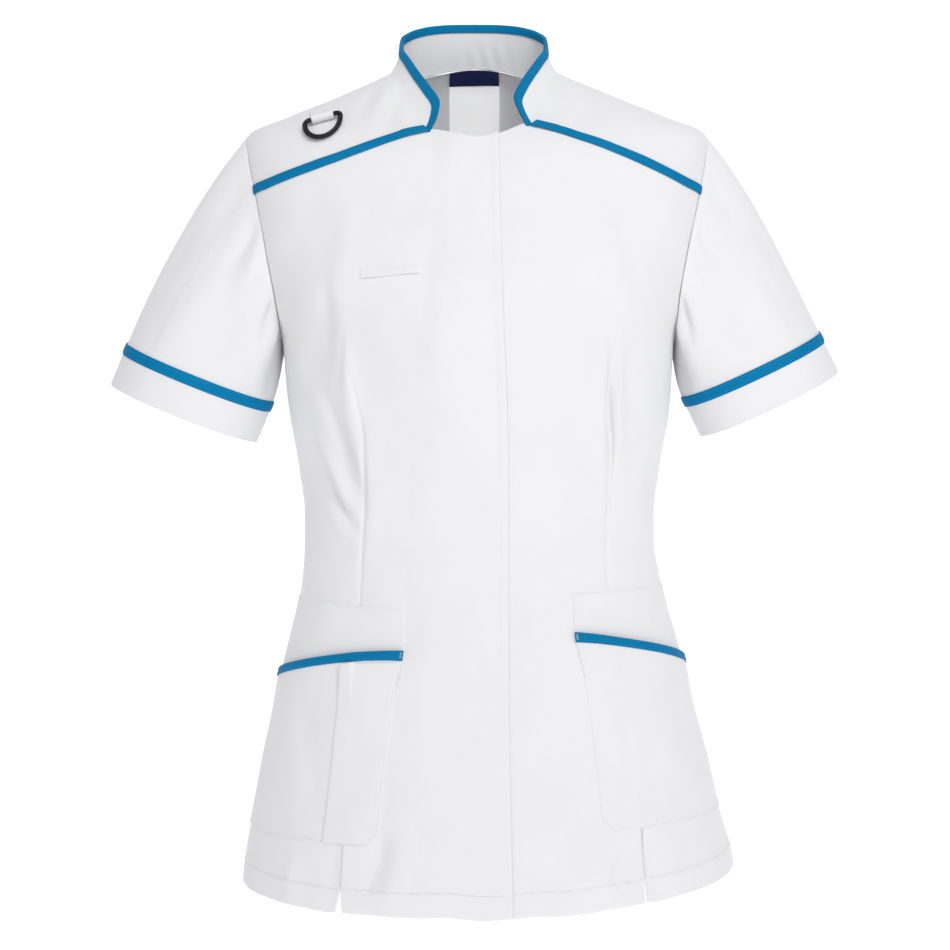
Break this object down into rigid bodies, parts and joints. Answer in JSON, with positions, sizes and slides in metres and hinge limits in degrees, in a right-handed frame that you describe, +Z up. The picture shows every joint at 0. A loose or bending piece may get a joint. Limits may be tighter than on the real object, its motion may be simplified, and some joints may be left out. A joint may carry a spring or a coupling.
{
  "type": "medical tunic",
  "caption": "Short-sleeved white medical tunic in worn form with stand collar, turquoise trims, concealed front, hip pockets, hem vents and a D-ring on the shoulder.",
  "frame": {"origin": "middle of the neck opening, level with the high shoulder points, where the wearer's shoulders hold the tunic", "axes": "+Z up, -Y the wearer's front, +X the wearer's left"},
  "size_m": [0.6435, 0.2807, 0.7772],
  "materials": {
    "white_twill": "matt poly-cotton twill, pressed",
    "turquoise_tape": "matt woven tape",
    "black_plastic": "moulded, satin",
    "navy_label": "woven satin label",
    "white_label": "smooth woven label"
  },
  "bodies": {
    "garment": {"front_right": "white_twill", "front_left": "white_twill", "back": "white_twill", "yoke_collar_right": "white_twill", "yoke_collar_left": "white_twill", "sleeve_right": "white_twill", "sleeve_left": "white_twill", "pocket_backing_right": "white_twill", "pocket_backing_left": "white_twill", "hip_pocket_right": "white_twill", "hip_pocket_left": "white_twill", "pen_pocket": "white_twill", "chest_welt": "white_twill", "ring_loop": "white_twill", "collar_binding": "turquoise_tape", "yoke_trim_right": "turquoise_tape", "yoke_trim_left": "turquoise_tape", "sleeve_tape_right": "turquoise_tape", "sleeve_tape_left": "turquoise_tape", "pocket_trim_right": "turquoise_tape", "pocket_trim_left": "turquoise_tape", "label_band": "navy_label", "label_care": "white_label"},
    "ring": {"d_ring": "black_plastic"}
  },
  "joints": [
    {"name": "ring_swing", "type": "hinge", "parent": "garment", "child": "ring", "pos_m": [-0.13362, -0.05537, -0.04369], "axis": [-0.9645, 0, -0.2641], "range_deg": [0, 150]}
  ]
}
